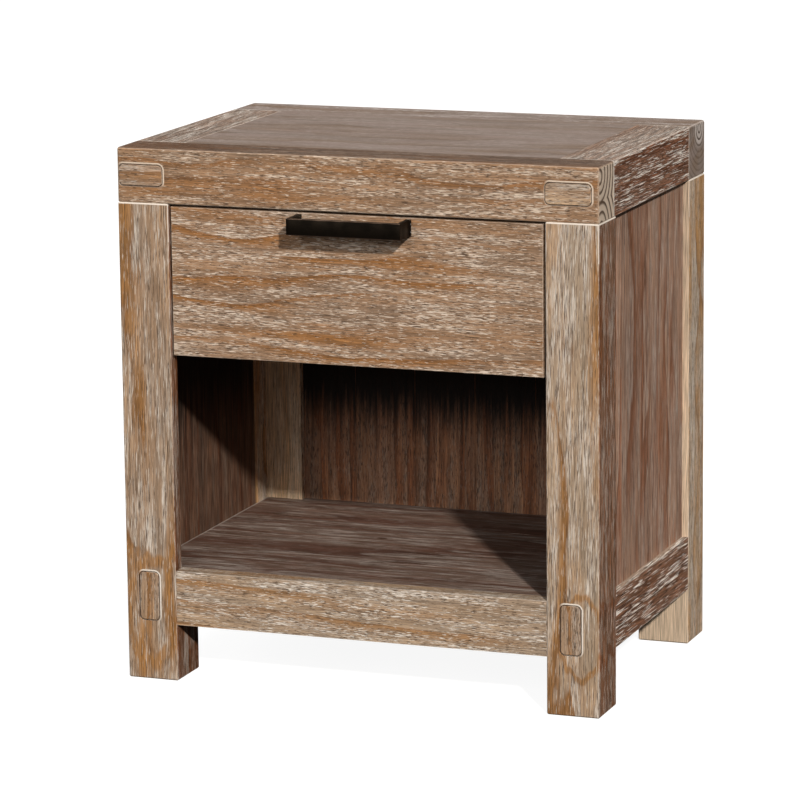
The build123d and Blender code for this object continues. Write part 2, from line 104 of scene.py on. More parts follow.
# The lens is long and stands well back, so that upright edges stay nearly parallel.
cameraSpot = {"place": (1.7517, -4.6965, 1.3449), "yaw": 20.649, "pitch": 11.455, "roll": 0.622,
              "lens": 185.74}
studio = {
    "key": {"azimuth": 34, "elevation": 28.5, "distance": 4, "energy": 3.1},
    "keySoftness": 2.6, "keyColour": "#fffaf3",
    # the low fill reaches only the lower half of the back of the open shelf
    "lowFill": {"azimuth": -8, "elevation": 21, "distance": 3.2, "energy": 24, "size": 0.9},
    "topFill": {"azimuth": 150, "elevation": 62, "distance": 3.4, "energy": 30, "size": 2.2},
    "leftFill": {"azimuth": -100, "elevation": 25, "distance": 3.6, "energy": 34, "size": 1.6},
    "skyStops": [(0.05, 0.0), (0.4, 0.12), (1.0, 0.40)],   # height in the sky, and how bright it is there
    "floorSize": 60, "floorGlow": 0.92, "floorMatt": "#8c8b89",
    "floorDark": "#4a4846",  # what the wood sees of the floor, so that little light comes from below
}


def makeCamera():
    yaw, pitch, roll = (math.radians(cameraSpot[k]) for k in ("yaw", "pitch", "roll"))
    ahead = Vector((-math.sin(yaw) * math.cos(pitch), math.cos(yaw) * math.cos(pitch), -math.sin(pitch)))
    level = Vector((math.cos(yaw), math.sin(yaw), 0))
    down = ahead.cross(level)
    right = math.cos(roll) * level + math.sin(roll) * down
    up = math.sin(roll) * level - math.cos(roll) * down
    data = bpy.data.cameras.new("camera")
    data.lens = cameraSpot["lens"]
    data.clip_start, data.clip_end = 0.1, 200
    camera = bpy.data.objects.new("camera", data)
    bpy.context.scene.collection.objects.link(camera)
    turn = Matrix((right, up, -ahead)).transposed().to_4x4()
    camera.matrix_world = Matrix.Translation(cameraSpot["place"]) @ turn
    bpy.context.scene.camera = camera


def aimedLight(name, kind, azimuth, elevation, distance, energy, **settings):
    # a lamp that looks at the middle of the nightstand; azimuth is to the right of the front
    a, e = math.radians(azimuth), math.radians(elevation)
    back = Vector((math.sin(a) * math.cos(e), -math.cos(a) * math.cos(e), math.sin(e)))
    middle = (cadLow + cadHigh) / 2
    data = bpy.data.lights.new(name, kind)
    data.energy = energy
    for key, value in settings.items():
        setattr(data, key, value)
    lamp = bpy.data.objects.new(name, data)
    aim = (-back).to_track_quat("-Z", "Y").to_matrix().to_4x4()
    lamp.matrix_world = Matrix.Translation(middle + back * distance) @ aim
    bpy.context.scene.collection.objects.link(lamp)


def makeStudio():
    aimedLight("key", "SUN", **studio["key"], angle=math.radians(studio["keySoftness"]),
               color=linear(studio["keyColour"])[:3])
    for name in ("lowFill", "topFill", "leftFill"):
        aimedLight(name, "AREA", **studio[name])
    world = bpy.data.worlds.new("studio")
    bpy.context.scene.world = world
    world.use_nodes = True
    world.node_tree.nodes.clear()
    add = partial(addNode, world.node_tree)
    place = add("TexCoord")
    height = add("SeparateXYZ", links={0: place.outputs["Generated"]})
    ramp = setStops(add("ValToRGB", links={0: height.outputs["Z"]}), studio["skyStops"])
    dim = add("Background", links={"Color": ramp})
    white = add("Background", {"Color": "#ffffff"})
    path = add("LightPath")
    add("OutputWorld", links={0: add("MixShader", links={0: path, 1: dim, 2: white})})
    bpy.ops.mesh.primitive_plane_add(size=studio["floorSize"], location=(0, 0, 0))
    floor = bpy.context.object
    floor.name = "floor"
    material, add = newMaterial("paleFloor")
    matt = add("BsdfDiffuse", {"Color": studio["floorMatt"]})
    glow = add("Emission", {"Color": "#ffffff", "Strength": studio["floorGlow"]})
    dark = add("BsdfDiffuse", {"Color": studio["floorDark"]})
    path = add("LightPath")
    bright = add("AddShader", links={0: matt, 1: glow})
    seen = add("MixShader", links={0: path, 1: dark, 2: bright})
    add("OutputMaterial", links={0: seen})
    useMaterial(floor, material)


makeCamera()
makeStudio()
print("camera, floor and light are in place")


# settings that many nodes share
smooth = {"interpolation_type": "SMOOTHSTEP"}
rgba = {"data_type": "RGBA"}

# Wire-brushed pine with lime wash: steel brushes take out the soft spring wood, white lime is rubbed into
# what is left open, and a dull lacquer goes on top. The eye gets tan wood with orange-brown late rings,
# milky patches full of short white streaks, and white lines where boards meet.
limedPine = {
    "grain": "x",            # the axis that the grain runs along
    "pith": (14, -95),       # the tree's middle, across the grain, in mm from the middle of the piece
    "tilt": (0.9, 0.9),      # degrees between the grain and the board
    "ring": 27,              # width of a year's growth, mm
    "wander": 13,            # how far the rings stray, mm
    "early": "#9c7f64", "grey": "#8d7763", "late": "#946838", "line": "#6f4a29", "pore": "#453222",
    "lateness": 0.95,        # how strongly the late rings show
    "lineness": 0.6,         # and the dark lines that they end with
    "lime": "#e6dcd0", "milk": "#bcaa99",
    "film": 0.42,            # milky film, at its strongest
    "streaks": 0.9,          # white streaks, at their strongest
    "pores": 0.8,            # dark pores, at their strongest
    "streakSize": (10, 0.85),  # length and width in mm, drawn coarser than life so that they show
    "poreSize": (9, 0.95),
    "contrast": 0.5,         # how much the fibres differ in shade
    "stripes": 0.16,         # how much the 4 mm stripes differ in shade
    "endLine": 0.0, "endWidth": 1.6,  # lime in the joints at both ends of the piece, and its width in mm
    "edge": 0.35, "edgeWidth": 1.3,  # lime along the edges, and how far it reaches in mm
    "joint": 0.0,            # lime in the bevels, where pieces meet
    "jointFrom": -1000,      # mm above the middle of the piece, below which the bevels have no lime
    "boards": 0, "boardAxis": 1,     # width of the boards a panel is glued from, and the axis across them
    "faces": (),             # (direction, colour, strength, how it mixes, axis, from, to): another colour on the faces that look that way, growing from one place to another along the axis; the looks use it for stains and also for painted shade and painted light
                             # the faces that look that way, growing from one place to another along the axis
    "overLime": (),          # the same, over the lime as well
    "swirl": (),             # (across, up, half width, half height, line width) in mm, of the oval that a
                             # late ring draws round the first plug
    "knotColour": "#43291a",
    "knots": (),             # (x, y, z, radius, how dark its heart is), in mm from the middle of the piece
    "plugs": (),             # names of the plugs let into the piece
    "endGrain": (8.5, (-30, 26), (-24, -36), 90),  # on the sawn ends: ring width, two middles, and how far
                                                   # from them the arcs still show, mm
    "tint": "#ffffff",
    "rough": 0.62,
    "seed": 0,
}

# length, width and detail of each noise that the wood is drawn with, in mm
grainSizes = {"slow": (240, 75, 1), "quick": (60, 15, 1), "strength": (330, 34, 1), "tone": (190, 30, 2),
              "patches": (120, 9, 3), "fibre": (48, 0.9, 3), "stripe": (150, 4.2, 2),
              "ragged": (9, 5, 2)}
grainTurn = {"x": (0, 0, 0), "y": (0, 0, 90), "z": (0, -90, 0)}
seedJump = Vector((331, 173, -257))   # how far apart two seeds lie in the noises, mm
boardJump = {"noise": 900.0, "pith": 40, "start": 50.37, "shade": {"To Min": 0.84, "To Max": 1.16}}
# how far things stray in mm: rings by two noises (the slow one times the wander), the oval, the lime along
# the edges, and the arcs of the sawn ends
strays = {"slow": 4, "quick": 7, "oval": 16.0, "edge": 3.0, "arcs": 9}

# from where to where a thing grows: in a noise, or in how squarely a face looks one way
spans = {
    "late": {"From Min": 0.34, "From Max": 0.54, "To Min": 0.10},
    "tone": {"From Min": 0.38, "From Max": 0.62}, "patches": {"From Min": 0.40, "From Max": 0.62},
    "fibre": {"From Min": 0.3, "From Max": 0.7}, "stripe": {"From Min": 0.32, "From Max": 0.68},
    "pore": {"From Min": 0.58, "From Max": 0.65}, "streak": {"From Min": 0.61, "From Max": 0.68},
    "facing": {"From Min": 0.6, "From Max": 0.8}, "bevel": {"From Min": 0.80, "From Max": 0.94},
    "sawn": {"From Min": 0.88, "From Max": 0.97},
}
zonePull = {"pore": 0.09, "streak": 0.11}   # how much likelier pores and streaks are in a limed patch
# across a year's ring: the late wood, the dark line where it ends, and lime on a sawn end
ringStops = {"late": [(0.0, 0.0), (0.38, 0.0), (0.62, 0.55), (0.84, 1.0), (0.96, 1.0), (1.0, 0.0)],
             "line": [(0.0, 0.5), (0.03, 0.0), (0.86, 0.0), (0.97, 1.0), (1.0, 0.5)],
             "sawn": [(0.0, 1.0), (0.5, 0.95), (0.68, 0.2), (0.86, 0.0), (1.0, 1.0)]}
# spans in radii of the knot, and how far the rings swerve
knotShape = {"squeeze": 0.55, "heart": {"From Min": 0.6, "From Max": 1.3},
             "swerve": {"From Min": 0.4, "From Max": 5.0}, "swerveBy": 2.4}
# corner radius of a plug; distance from its edge and width of the painted shadow and of the lime with its
# painted highlight round it, mm
plugShape = {"corner": 5.5, "paintedShadowRim": (0.3, 1.2), "lime": (2.3, 1.4), "paintedShadowColour": "#3b2718",
             "upper": {"From Min": -0.3, "From Max": 0.6, "To Max": 0.95},
             "lower": {"From Min": 0.6, "From Max": -0.5, "To Min": 0.6, "To Max": 0.95}}
relief = {"late": 0.8, "streak": -0.4, "strength": 0.6, "depth": 0.6 * mm, "limeRough": 0.85}


def limedWood(name, node, **changes):
    look = {**limedPine, **changes}
    low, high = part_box(node)
    centre = (low + high) / 2
    half = (high - low) / 2 / mm
    material, add = newMaterial(name)
    place = add("TexCoord")
    normal = place.outputs["Normal"]
    toMillimetres = {"vector_type": "TEXTURE", "Location": centre, "Scale": (mm, mm, mm)}
    flat = add("Mapping", toMillimetres, {0: place.outputs["Object"]})
    flatParts = add("SeparateXYZ", links={0: flat})
    slant = Euler((0, math.radians(look["tilt"][0]), math.radians(look["tilt"][1]))).to_matrix()
    turned = Euler([math.radians(v) for v in grainTurn[look["grain"]]]).to_matrix() @ slant
    along = add("Mapping", {**toMillimetres, "Rotation": turned.to_euler()}, {0: place.outputs["Object"]})
    seed = look["seed"]
    shifted = add("VectorMath", {"operation": "ADD", 1: seedJump * seed}, {0: along})
    boardTone = None
    if look["boards"]:
        # each glued board has its own grain and its own shade
        row = add("Math", {"operation": "MULTIPLY_ADD", 1: 1 / look["boards"], 2: boardJump["start"] + seed},
                  {0: flatParts.outputs[look["boardAxis"]]})
        row = add("Math", {"operation": "FLOOR"}, {0: row})
        chance = add("TexWhiteNoise", {"noise_dimensions": "1D"}, {"W": row})
        boardTone = chance.outputs["Value"]
        jump = add("VectorMath", {"operation": "SCALE", "Scale": boardJump["noise"]},
                   {0: chance.outputs["Color"]})
        shifted = add("VectorMath", {"operation": "ADD"}, {0: shifted, 1: jump})
        jump = add("VectorMath", {"operation": "MULTIPLY", 1: (0, boardJump["pith"], boardJump["pith"])},
                   {0: chance.outputs["Color"]})
        along = add("VectorMath", {"operation": "ADD"}, {0: along, 1: jump})
    noises = {}
    sizes = {**grainSizes, "streak": (*look["streakSize"], 2), "pore": (*look["poreSize"], 2)}
    for key, (length, width, detail) in sizes.items():
        stretched = add("Mapping", {"Scale": (1 / length, 1 / width, 1 / width)}, {0: shifted})
        noises[key] = add("TexNoise", {"Scale": 1.0, "Detail": float(detail), "Roughness": 0.55},
                          {0: stretched})

    # growth rings: distance from a pith that wanders
    stray = look["wander"] * strays["slow"]
    bent = add("VectorMath", {"operation": "MULTIPLY_ADD", 1: (0, stray, stray),
                              2: (0, -stray / 2, -stray / 2)}, {0: noises["slow"].outputs["Color"]})
    bent = add("VectorMath", {"operation": "ADD"}, {0: bent, 1: along})
    bent = add("VectorMath", {"operation": "MULTIPLY_ADD", 1: (0, strays["quick"], strays["quick"])},
               {0: noises["quick"].outputs["Color"], 2: bent})
    pith = look["pith"]
    across = add("VectorMath", {"operation": "MULTIPLY_ADD", 1: (0, 1, 1), 2: (0, -pith[0], -pith[1])},
                 {0: bent})
    radius = add("VectorMath", {"operation": "LENGTH"}, {0: across})
    knotHeart = None
    for x, y, z, knotRadius, darkness in look["knots"]:
        # rings swerve round a knot, and its heart is dark
        offset = add("VectorMath", {"operation": "SUBTRACT", 1: (x, y, z)}, {0: flat})
        stretch = [1.0, 1.0, 1.0]
        stretch["xyz".index(look["grain"])] = knotShape["squeeze"]
        squeezed = add("VectorMath", {"operation": "MULTIPLY", 1: [s / knotRadius for s in stretch]},
                       {0: offset})
        away = add("VectorMath", {"operation": "LENGTH"}, {0: squeezed})
        swerveBy = knotShape["swerveBy"] * knotRadius
        swerve = add("MapRange", {**smooth, **knotShape["swerve"], "To Min": swerveBy, "To Max": 0.0},
                     {"Value": away})
        radius = add("Math", {"operation": "ADD"}, {0: radius, 1: swerve})
        heart = add("MapRange", {**smooth, **knotShape["heart"], "To Min": darkness, "To Max": 0.0},
                    {"Value": away})
        if knotHeart is None:
            knotHeart = heart
        else:
            knotHeart = add("Math", {"operation": "MAXIMUM"}, {0: knotHeart, 1: heart})
    phase = add("Math", {"operation": "MULTIPLY_ADD", 1: 1 / look["ring"]},
                {0: radius, 2: noises["strength"]})
    phase = add("Math", {"operation": "FRACT"}, {0: phase})
    band = setStops(add("ValToRGB", links={0: phase}), ringStops["late"])
    strength = add("MapRange", {**smooth, **spans["late"], "To Max": look["lateness"]},
                   {"Value": noises["strength"]})
    band = add("Math", {"operation": "MULTIPLY"}, {0: band, 1: strength})
    line = setStops(add("ValToRGB", links={0: phase}), ringStops["line"])
    line = add("Math", {"operation": "MULTIPLY"}, {0: line, 1: strength})

    # colour of the wood itself
    tone = add("MapRange", {**smooth, **spans["tone"]}, {"Value": noises["tone"]})
    wood = add("Mix", {**rgba, 6: look["early"], 7: look["grey"]}, {0: tone})
    wood = add("Mix", {**rgba, 7: look["late"]}, {0: band, 6: wood})
    line = add("Math", {"operation": "MULTIPLY", 1: look["lineness"]}, {0: line})
    wood = add("Mix", {**rgba, 7: look["line"]}, {0: line, 6: wood})
    if look["swirl"]:
        plugLow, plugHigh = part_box(look["plugs"][0])
        across, up, halfWidth, halfHeight, lineWidth = look["swirl"]
        middle = ((plugLow + plugHigh) / 2 - centre) / mm + Vector((across, 0, up))
        oval = add("VectorMath", {"operation": "SUBTRACT", 1: middle}, {0: flat})
        oval = add("VectorMath", {"operation": "MULTIPLY", 1: (1, 0, halfWidth / halfHeight)}, {0: oval})
        oval = add("VectorMath", {"operation": "LENGTH"}, {0: oval})
        oval = add("Math", {"operation": "MULTIPLY_ADD", 1: strays["oval"]}, {0: noises["quick"], 2: oval})
        oval = add("Math", {"operation": "SUBTRACT", 1: halfWidth + strays["oval"] / 2}, {0: oval})
        oval = add("Math", {"operation": "ABSOLUTE"}, {0: oval})
        oval = add("MapRange", {**smooth, "From Min": lineWidth * 0.3, "From Max": lineWidth, "To Min": 0.8,
                                "To Max": 0.0}, {"Value": oval})
        wood = add("Mix", {**rgba, 7: look["late"]}, {0: oval, 6: wood})
        band = add("Math", {"operation": "MAXIMUM"}, {0: band, 1: oval})
    contrast, stripes = look["contrast"], look["stripes"]
    fibre = add("MapRange", {**spans["fibre"], "To Min": 1 - contrast, "To Max": 1 + contrast},
                {"Value": noises["fibre"]})
    stripe = add("MapRange", {**spans["stripe"], "To Min": 1 - stripes, "To Max": 1 + stripes},
                 {"Value": noises["stripe"]})
    wood = add("VectorMath", {"operation": "SCALE"}, {0: wood, "Scale": fibre})
    wood = add("VectorMath", {"operation": "SCALE"}, {0: wood, "Scale": stripe})

    # lime: a film in patches, and streaks in the open grain between the late rings
    patches = add("MapRange", {**smooth, **spans["patches"]}, {"Value": noises["patches"]})
    soft = add("Math", {"operation": "SUBTRACT", 0: 1.0}, {1: band})
    zone = add("Math", {"operation": "MULTIPLY"}, {0: patches, 1: soft})
    film = add("Math", {"operation": "MULTIPLY", 1: look["film"]}, {0: zone})
    limed = add("Mix", {**rgba, 7: look["milk"]}, {0: film, 6: wood})
    pores = add("Math", {"operation": "MULTIPLY_ADD", 1: zonePull["pore"]}, {0: zone, 2: noises["pore"]})
    pores = add("MapRange", {**smooth, **spans["pore"], "To Max": look["pores"]}, {"Value": pores})
    limed = add("Mix", {**rgba, 7: look["pore"]}, {0: pores, 6: limed})
    streak = add("Math", {"operation": "MULTIPLY_ADD", 1: zonePull["streak"]}, {0: zone, 2: noises["streak"]})
    streak = add("MapRange", {**smooth, **spans["streak"], "To Max": look["streaks"]}, {"Value": streak})

    # lime rubbed along the edges of the piece and into its bevels
    inward = add("VectorMath", {"operation": "ABSOLUTE"}, {0: flat})
    inward = add("VectorMath", {"operation": "SUBTRACT", 0: half}, {1: inward})
    gaps = add("SeparateXYZ", links={0: inward}).outputs
    least = add("Math", {"operation": "MINIMUM"}, {0: gaps[0], 1: gaps[1]})
    most = add("Math", {"operation": "MAXIMUM"}, {0: gaps[0], 1: gaps[1]})
    most = add("Math", {"operation": "MINIMUM"}, {0: most, 1: gaps[2]})
    toEdge = add("Math", {"operation": "MAXIMUM"}, {0: least, 1: most})
    ragged = add("Math", {"operation": "MULTIPLY_ADD", 1: strays["edge"]}, {0: noises["ragged"], 2: toEdge})
    edge = add("MapRange", {**smooth, "From Min": 1.4,
                            "From Max": 1.6 + look["edgeWidth"], "To Min": look["edge"], "To Max": 0.0},
               {"Value": ragged})
    looks = add("VectorMath", {"operation": "ABSOLUTE"}, {0: normal})
    sides = add("SeparateXYZ", links={0: looks}).outputs
    square = add("Math", {"operation": "MAXIMUM"}, {0: sides[0], 1: sides[1]})
    square = add("Math", {"operation": "MAXIMUM"}, {0: square, 1: sides[2]})
    joint = add("MapRange", {**smooth, **spans["bevel"], "To Min": look["joint"], "To Max": 0.0},
                {"Value": square})
    above = add("Math", {"operation": "GREATER_THAN", 1: float(look["jointFrom"])}, {0: flatParts.outputs[2]})
    joint = add("Math", {"operation": "MULTIPLY"}, {0: joint, 1: above})
    grainAxis = "xyz".index(look["grain"])
    ends = add("MapRange", {**smooth, "From Min": look["endWidth"] - 0.6, "From Max": look["endWidth"] + 0.6,
                            "To Min": look["endLine"], "To Max": 0.0}, {"Value": gaps[grainAxis]})
    ends = add("Math", {"operation": "MULTIPLY"}, {0: ends, 1: above})
    lime = add("Math", {"operation": "MAXIMUM"}, {0: streak, 1: edge})
    lime = add("Math", {"operation": "MAXIMUM"}, {0: lime, 1: joint})
    lime = add("Math", {"operation": "MAXIMUM"}, {0: lime, 1: ends})

    def stainedAndShaded(under, stainsAndShades):
        # another colour on the faces that look one way, with a frayed border; the looks use it for stains and
        # for painted shade and painted light
        for direction, faceColour, faceStrength, mixing, axis, start, full in stainsAndShades:
            facing = add("VectorMath", {"operation": "DOT_PRODUCT", 1: direction}, {0: normal})
            facing = add("MapRange", {**spans["facing"], "To Max": faceStrength}, {"Value": facing})
            reached = add("VectorMath", {"operation": "DOT_PRODUCT", 1: axis}, {0: flat})
            fray = (full - start) * 1.2
            reached = add("Math", {"operation": "MULTIPLY_ADD", 1: -fray}, {0: noises["stripe"], 2: reached})
            reached = add("Math", {"operation": "ADD", 1: fray / 2}, {0: reached})
            within = add("MapRange", {**smooth, "From Min": start, "From Max": full},
                         {"Value": reached})
            facing = add("Math", {"operation": "MULTIPLY"}, {0: facing, 1: within})
            stainAndShade = add("VectorMath", {"operation": "SCALE", 0: linear(faceColour)[:3]}, {"Scale": fibre})
            under = add("Mix", {**rgba, "blend_type": mixing}, {0: facing, 6: under, 7: stainAndShade})
        return under

    limed = stainedAndShaded(limed, look["faces"])
    for plug in look["plugs"]:
        # round a plug: lime with a painted highlight above and to the right, and a painted shadow below and
        # to the left
        plugLow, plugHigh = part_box(plug)
        middle = ((plugLow + plugHigh) / 2 - centre) / mm
        reach = (plugHigh - plugLow) / 2 / mm
        away = add("VectorMath", {"operation": "SUBTRACT", 1: middle}, {0: flat})
        tilt = add("VectorMath", {"operation": "DOT_PRODUCT", 1: (1 / reach.x, 0, 1 / reach.z)}, {0: away})
        corner = plugShape["corner"]
        away = add("VectorMath", {"operation": "MULTIPLY", 1: (1, 0, 1)}, {0: away})
        away = add("VectorMath", {"operation": "ABSOLUTE"}, {0: away})
        away = add("VectorMath", {"operation": "SUBTRACT", 1: (reach.x - corner, 0, reach.z - corner)},
                   {0: away})
        away = add("VectorMath", {"operation": "MAXIMUM", 1: (0, 0, 0)}, {0: away})
        away = add("VectorMath", {"operation": "LENGTH"}, {0: away})
        rims = []
        for spread, width in (plugShape["paintedShadowRim"], plugShape["lime"]):
            off = add("Math", {"operation": "SUBTRACT", 1: corner + spread}, {0: away})
            off = add("Math", {"operation": "ABSOLUTE"}, {0: off})
            rims.append(add("MapRange", {**smooth, "From Min": width * 0.4, "From Max": width, "To Min": 1.0,
                                         "To Max": 0.0}, {"Value": off}))
        upper = add("MapRange", {**smooth, **plugShape["upper"]}, {"Value": tilt})
        upper = add("Math", {"operation": "MULTIPLY"}, {0: rims[1], 1: upper})
        lower = add("MapRange", {**smooth, **plugShape["lower"]}, {"Value": tilt})
        lower = add("Math", {"operation": "MULTIPLY"}, {0: rims[0], 1: lower})
        lime = add("Math", {"operation": "MAXIMUM"}, {0: lime, 1: upper})
        limed = add("Mix", {**rgba, 7: plugShape["paintedShadowColour"]}, {0: lower, 6: limed})
    colour = add("Mix", {**rgba, 7: look["lime"]}, {0: lime, 6: limed})
    if knotHeart is not None:
        colour = add("Mix", {**rgba, 7: look["knotColour"]}, {0: knotHeart, 6: colour})
    colour = stainedAndShaded(colour, look["overLime"])

    # sawn ends: arcs of the rings, packed with lime between dark lines
    endRing, *middles, reachOut = look["endGrain"]
    stray = strays["arcs"]
    arcPlace = add("VectorMath", {"operation": "MULTIPLY_ADD", 1: (0, stray, stray)},
                   {0: noises["slow"].outputs["Color"], 2: along})
    arcs = None
    for across, up in middles:
        distance = add("VectorMath", {"operation": "MULTIPLY_ADD", 1: (0, 1, 1),
                                      2: (0, -across - stray / 2, -up - stray / 2)}, {0: arcPlace})
        distance = add("VectorMath", {"operation": "LENGTH"}, {0: distance})
        arcs = distance if arcs is None else add("Math", {"operation": "MINIMUM"}, {0: arcs, 1: distance})
    fade = add("MapRange", {**smooth, "From Min": reachOut, "From Max": reachOut * 0.6, "To Min": 0.15,
                            "To Max": 0.9}, {"Value": arcs})
    arcs = add("Math", {"operation": "MULTIPLY", 1: 1 / endRing}, {0: arcs})
    arcs = add("Math", {"operation": "FRACT"}, {0: arcs})
    arcs = setStops(add("ValToRGB", links={0: arcs}), ringStops["sawn"])
    endWood = add("Mix", {**rgba, 6: look["pore"], 7: look["lime"]}, {0: arcs})
    endWood = add("Mix", rgba, {0: fade, 6: limed, 7: endWood})
    sawn = add("MapRange", {**smooth, **spans["sawn"]}, {"Value": sides[grainAxis]})
    colour = add("Mix", rgba, {0: sawn, 6: colour, 7: endWood})
    if boardTone is not None:
        shade = add("MapRange", boardJump["shade"], {"Value": boardTone})
        colour = add("VectorMath", {"operation": "SCALE"}, {0: colour, "Scale": shade})
    colour = add("Mix", {**rgba, "blend_type": "MULTIPLY", 0: 1.0, 7: look["tint"]}, {6: colour})

    # the brush leaves the late rings standing and fine furrows between the fibres
    height = add("Math", {"operation": "MULTIPLY_ADD", 1: relief["late"]}, {0: band, 2: noises["fibre"]})
    height = add("Math", {"operation": "MULTIPLY_ADD", 1: relief["streak"]}, {0: streak, 2: height})
    bump = add("Bump", {"Strength": relief["strength"], "Distance": relief["depth"]}, {"Height": height})
    rough = add("MapRange", {"To Min": look["rough"], "To Max": relief["limeRough"]}, {"Value": lime})
    shader = add("BsdfPrincipled", {"IOR": 1.48, "Specular IOR Level": 0.4},
                 {"Base Color": colour, "Roughness": rough, "Normal": bump})
    add("OutputMaterial", links={0: shader})
    useMaterial(nodes[node], material)


whole = ((0, 0, 0), -2, -1)   # a face's other colour is on all of it
topLook = {"early": "#8c7a70", "grey": "#827267", "late": "#7f6854", "line": "#655245", "milk": "#9a8a80",
           "lime": "#cfc4bd", "pores": 0.35, "contrast": 0.16, "stripes": 0.08}
# the faces that look right are darker: partly a darker stain, partly painted shade
stainAndShadeRight = ((1, 0, 0), "#cfae9c", 1.0, "MULTIPLY", *whole)
limedWood("limedPineTopFront", "top_front_rail", grain="x", pith=(-30, -150), seed=1, joint=0.3, edge=0.2,
          tint="#f3e8dd", endGrain=(11, (-30, 26), (-24, -36), 130), lateness=0.8,
          plugs=("plug_top_left", "plug_top_right"),
          # painted shade: the faces that look up are darkened and a little greyed
          overLime=(((0, 0, 1), "#b4adaa", 1.0, "MULTIPLY", *whole),))
limedWood("limedPineTopRear", "top_rear_rail", grain="x", pith=(60, -130), seed=2, joint=0.5,
          endGrain=(7.5, (4, 30), (4, 30), 26), **topLook)
limedWood("limedPineTopField", "top_field", grain="x", pith=(0, -160), seed=3, edge=0.0,
          film=0.4, streaks=0.3, lateness=0.7, **topLook)
cream = ((0, -1, 0), "#d0b9a0", 0.85, "MIX")   # a pale strip on the front of a rear leg
legLook = {"left": {"early": "#9c7f64", "grey": "#8d7763", "swirl": (3, -20, 30, 66, 6)},
           "right": {"early": "#ab8e72", "grey": "#9b8670", "swirl": (14, -8, 27, 52, 3.5)}}
plugLook = {"left": {"early": "#a08670", "lateness": 0.8}, "right": {"early": "#c6a685", "lateness": 0.5}}
for side, n in (("left", 0), ("right", 1)):
    sign = -1 if side == "left" else 1
    inward = (-sign, 0, 0)
    limedWood("limedPineTopRail_" + side, "top_rail_" + side, grain="y", pith=(0, -60), seed=4 + n, joint=0.4,
              edge=0.1, endLine=0.95, endWidth=1.9, streakSize=(38, 0.95), film=0.6, lime="#f4ece2",
              early="#a68d7b", grey="#9a8778", late="#906c52", line="#5c3f2b", lateness=0.8,
              # painted shade: the faces that look up are darkened and a little greyed
              faces=(stainAndShadeRight,), overLime=(((0, 0, 1), "#dedad8", 1.0, "MULTIPLY", *whole),))
    limedWood("limedPineLegFront_" + side, "leg_front_" + side, grain="z", pith=(60, 30), seed=6 + n,
              joint=0.9, streakSize=(24, 0.75), poreSize=(24, 0.8), streaks=0.62, film=0.5, endLine=0.95,
              jointFrom=250,
              plugs=("plug_leg_" + side,), faces=(stainAndShadeRight,), **legLook[side])
    limedWood("limedPineLegRear_" + side, "leg_rear_" + side, grain="z", pith=(30, 60), seed=8 + n, joint=0.9,
              streakSize=(30, 1.0), endLine=0.95, jointFrom=250,
              early="#caab8d", grey="#baa38b", late="#bb8d5a",
              knots=((15, -33, -262, 6, 0.7),), knotColour="#a3714d",
              # the faces that look forward get paler wood, made lighter still as painted light, then painted
              # shade that darkens them towards the top; the cream strips are bare wood
              overLime=(((0, -1, 0), "#f3d9b6", 0.45, "MIX", *whole),
                        ((0, -1, 0), "#2c2826", 0.97, "MULTIPLY", (0, 0, 1), 60, 150),
                        (*cream, (sign, 0, 0), 23, 24.5), (*cream, (0, 0, -1), 224, 227)))
    limedWood("limedPineBottomRail_" + side, "bottom_rail_" + side, grain="y", pith=(0, -60), seed=10 + n,
              faces=(stainAndShadeRight,), streakSize=(44, 1.15), poreSize=(40, 1.2), pores=0.85, film=0.6,
              early="#a8917e", grey="#9c8a7b", late="#94704f", lime="#fff8ee", lateness=0.6,
              knots=((0, 95, -8, 4, 0.8),))
    limedWood("limedPinePlugTop_" + side, "plug_top_" + side, grain="x", pith=(0, -60), seed=12 + n, edge=0.0,
              film=0.2, streaks=0.4, late="#8f6438", **plugLook[side])
    limedWood("limedPinePlugLeg_" + side, "plug_leg_" + side, grain="z", pith=(0, -60), seed=14 + n, edge=0.0,
              film=0.2, streaks=0.3, late="#8f6438")
    limedWood("stainedShadedPanel_" + side, "side_panel_" + side, grain="z", pith=(0, -60), seed=16 + n, boards=74,
              early="#ab8770", grey="#9e7c68", late="#936246", line="#6d442e", milk="#b7998a", streaks=0.4,
              film=0.4, stripes=0.28, edge=0.15, streakSize=(34, 1.2), poreSize=(26, 1.5), pores=0.5,
              knots=((0, -6, -20, 3.5, 0.9), (0, -110, 190, 3, 0.8)),
              # painted shade: the faces that look into the case are darkened all over, and darker still
              # towards the top
              overLime=((inward, "#9a8f86", 1.0, "MULTIPLY", *whole),
                        (inward, "#262220", 0.97, "MULTIPLY", (0, 0, 1), -130, -20)))
limedWood("limedPineBottomFront", "bottom_front_rail", grain="x", pith=(0, -100), seed=21, lateness=0.7,
          early="#a88d72", grey="#9a8570")
limedWood("limedPineBottomRear", "bottom_rear_rail", grain="x", pith=(0, -100), seed=22)
limedWood("limedPineDrawerFront", "drawer_front", grain="x", pith=(0, -160), seed=23, tint="#f6ece3",
          endGrain=(8.5, (0, 160), (0, 160), 40))
limedWood("stainedShelf", "shelf", grain="x", pith=(0, -160), seed=24, boards=98,
          early="#70574a", grey="#6a5448", late="#5e4034",
          line="#402b22", milk="#94857c", lime="#c3b9b0", streaks=0.5, film=0.5, edge=0.15,
          streakSize=(34, 1.5), poreSize=(40, 1.6), pores=0.85, endLine=0.5, endWidth=2,
          knots=((-60, 20, 8, 4, 0.9),))
limedWood("stainedShadedBack", "back_panel", grain="z", pith=(0, -160), seed=25, boards=40, boardAxis=0,
          early="#a07354", grey="#8f6a52", late="#8a5737", line="#573422", milk="#a1826d", lime="#bcab9c",
          streaks=0.3, film=0.3, stripes=0.3, edge=0.1,
          # painted shade: the face that looks forward darkens towards the top
          overLime=(((0, -1, 0), "#1c1917", 0.985, "MULTIPLY", (0, 0, 1), -145, -75),))

